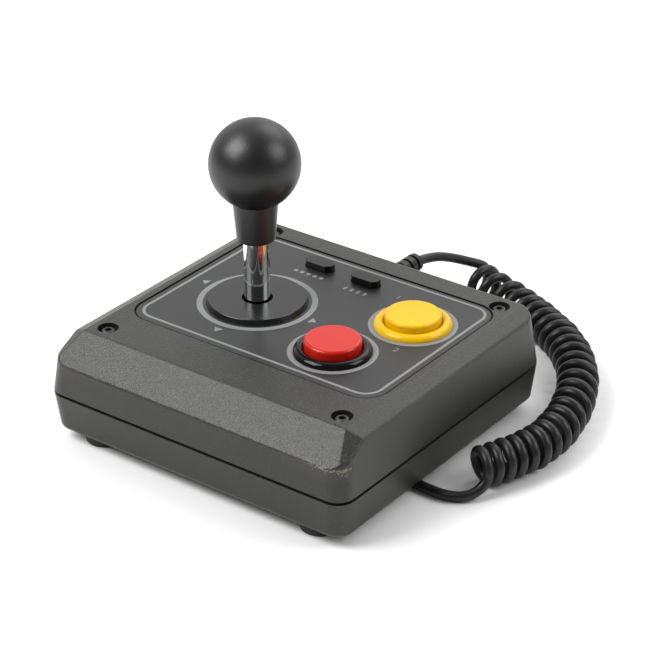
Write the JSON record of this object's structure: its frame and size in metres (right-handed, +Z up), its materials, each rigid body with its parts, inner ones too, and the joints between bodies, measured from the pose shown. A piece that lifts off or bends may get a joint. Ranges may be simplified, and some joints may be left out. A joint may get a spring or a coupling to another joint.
{
  "type": "arcade stick",
  "caption": "Table-top arcade stick: sloped two-part case, ball-top lever on a chrome shaft, round push buttons, pill keys, rubber feet and a curly cord.",
  "frame": {"origin": "on the table, under the middle of the case, without the cord", "axes": "+X to the player's right, +Y away from the player, +Z up"},
  "size_m": [0.1886, 0.219, 0.1321],
  "materials": {
    "case_plastic": "fine spark texture, charcoal",
    "panel_plastic": "satin charcoal with grey print",
    "black_plastic": "satin black",
    "gloss_black": "gloss black",
    "red_plastic": "semi-gloss red",
    "yellow_plastic": "gloss yellow",
    "chrome": "polished",
    "steel": "plain zinc",
    "black_steel": "black oxide",
    "brass": "plain",
    "rubber": "matt black",
    "cord_rubber": "satin black",
    "board": "solder mask"
  },
  "bodies": {
    "housing": {"board_screws": "steel", "bottom_shell": "case_plastic", "bracket_bolts": "steel", "bracket_nuts": "steel", "case_screws": "black_steel", "centering_spring": "steel", "circuit_board": "board", "controller_chip": "black_plastic", "cord_coil": "cord_rubber", "cord_header": "black_plastic", "cord_lead": "cord_rubber", "cord_tail": "cord_rubber", "face_panel": "panel_plastic", "foot_front_left": "rubber", "foot_front_right": "rubber", "foot_rear_left": "rubber", "foot_rear_right": "rubber", "gate_plate": "black_plastic", "gate_screws": "steel", "key_board": "board", "key_board_screws": "steel", "lever_bracket": "black_plastic", "lever_collar": "black_plastic", "lever_switch_back": "black_plastic", "lever_switch_front": "black_plastic", "lever_switch_left": "black_plastic", "lever_switch_right": "black_plastic", "plug_body": "cord_rubber", "plug_boot": "cord_rubber", "plug_shell": "steel", "red_bezel": "gloss_black", "red_contact_block": "black_plastic", "red_nut": "black_plastic", "red_spring": "steel", "red_terminals": "brass", "select_dome": "rubber", "start_dome": "rubber", "strain_relief": "cord_rubber", "switch_board": "steel", "top_shell": "case_plastic", "yellow_bezel": "yellow_plastic", "yellow_contact_block": "black_plastic", "yellow_nut": "black_plastic", "yellow_spring": "steel", "yellow_terminals": "brass"},
    "gimbal": {"gimbal_ring": "steel"},
    "lever": {"pivot_pin": "steel", "lever_shaft": "chrome", "ball_grip": "black_plastic", "actuator": "black_plastic", "shaft_clip": "steel"},
    "red_button": {"red_cap": "red_plastic"},
    "yellow_button": {"yellow_cap": "yellow_plastic"},
    "select_key": {"select_button": "black_plastic"},
    "start_key": {"start_button": "black_plastic"}
  },
  "joints": [
    {"name": "lever_pitch", "type": "hinge", "parent": "housing", "child": "gimbal", "pos_m": [-0.02525, 0.005, 0.0454], "axis": [1, 0, 0], "range_deg": [-6.5, 6.5], "stiffness_Nm_per_rad": 1.2, "deforming": ["centering_spring"]},
    {"name": "lever_roll", "type": "hinge", "parent": "gimbal", "child": "lever", "pos_m": [-0.02525, 0.005, 0.0454], "axis": [0, 1, 0], "range_deg": [-6.5, 6.5], "stiffness_Nm_per_rad": 1.2},
    {"name": "red_press", "type": "slide", "parent": "housing", "child": "red_button", "axis": [0, 0, -1], "range_m": [0, 0.003], "stiffness_N_per_m": 300, "springref_m": -0.003, "deforming": ["red_spring"]},
    {"name": "yellow_press", "type": "slide", "parent": "housing", "child": "yellow_button", "axis": [0, 0, -1], "range_m": [0, 0.003], "stiffness_N_per_m": 300, "springref_m": -0.003, "deforming": ["yellow_spring"]},
    {"name": "select_press", "type": "slide", "parent": "housing", "child": "select_key", "axis": [0, 0, -1], "range_m": [0, 0.0012], "stiffness_N_per_m": 600, "springref_m": -0.0008, "deforming": ["select_dome"]},
    {"name": "start_press", "type": "slide", "parent": "housing", "child": "start_key", "axis": [0, 0, -1], "range_m": [0, 0.0012], "stiffness_N_per_m": 600, "springref_m": -0.0008, "deforming": ["start_dome"]}
  ]
}
